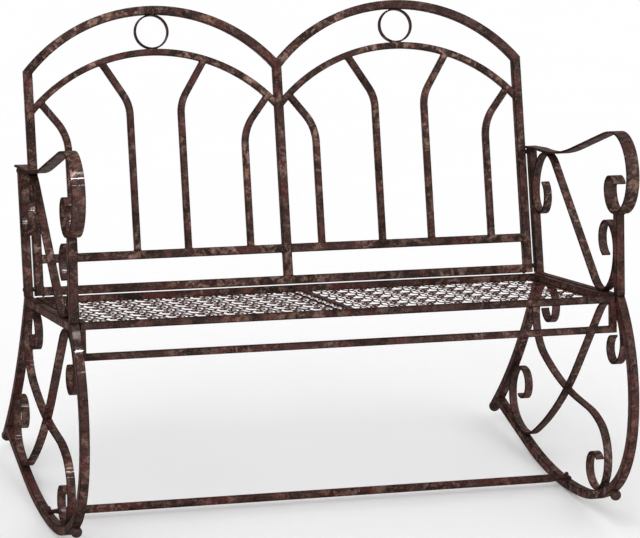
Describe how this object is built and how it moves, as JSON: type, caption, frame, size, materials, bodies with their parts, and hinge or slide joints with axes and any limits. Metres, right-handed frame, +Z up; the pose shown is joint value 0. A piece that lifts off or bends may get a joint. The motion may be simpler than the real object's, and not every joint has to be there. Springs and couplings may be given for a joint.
{
  "type": "garden rocking bench",
  "caption": "Two-seat garden rocking bench of welded tube with an arched back, scrolled arms and sides, punched seat sheets and bowed rockers.",
  "frame": {"origin": "on the floor, below the middle of the bench's overall box", "axes": "+X to the sitter's left and the viewer's right, +Y to the back, +Z up"},
  "size_m": [1.065, 0.8004, 0.9128],
  "materials": {
    "tube_frame": "satin",
    "flat_bar": "satin",
    "punched_sheet": "satin",
    "balls": "satin",
    "fasteners": "satin"
  },
  "bodies": {
    "root": {"left_rear_post": "tube_frame", "right_rear_post": "tube_frame", "left_front_post": "tube_frame", "right_front_post": "tube_frame", "left_side_rail": "tube_frame", "right_side_rail": "tube_frame", "left_armrest": "flat_bar", "right_armrest": "flat_bar", "left_upper_scroll": "flat_bar", "right_upper_scroll": "flat_bar", "left_front_leg": "tube_frame", "right_front_leg": "tube_frame", "left_rear_leg": "tube_frame", "right_rear_leg": "tube_frame", "left_rocker": "tube_frame", "right_rocker": "tube_frame", "left_long_scroll": "flat_bar", "right_long_scroll": "flat_bar", "left_cross_scroll": "flat_bar", "right_cross_scroll": "flat_bar", "front_balls": "balls", "rear_balls": "balls", "left_back_post": "tube_frame", "right_back_post": "tube_frame", "centre_back_post": "tube_frame", "back_bottom_rail": "tube_frame", "left_mid_rail": "tube_frame", "right_mid_rail": "tube_frame", "left_outer_arch": "tube_frame", "right_outer_arch": "tube_frame", "left_inner_arch": "tube_frame", "right_inner_arch": "tube_frame", "left_ring": "flat_bar", "right_ring": "flat_bar", "left_outer_spindles": "tube_frame", "right_outer_spindles": "tube_frame", "left_inner_spindles": "tube_frame", "right_inner_spindles": "tube_frame", "seat_front_rail": "tube_frame", "seat_rear_rail": "tube_frame", "left_seat_rail": "tube_frame", "right_seat_rail": "tube_frame", "seat_centre_bar": "flat_bar", "left_seat_sheet": "punched_sheet", "right_seat_sheet": "punched_sheet", "apron_posts": "tube_frame", "apron_stretcher": "tube_frame", "lower_stretcher": "tube_frame", "back_bolts": "fasteners", "back_inserts": "fasteners", "back_spacers": "fasteners", "seat_bolts": "fasteners", "seat_nuts": "fasteners", "seat_spacers": "fasteners", "stretcher_studs": "fasteners", "stretcher_cap_nuts": "fasteners"}
  },
  "joints": []
}
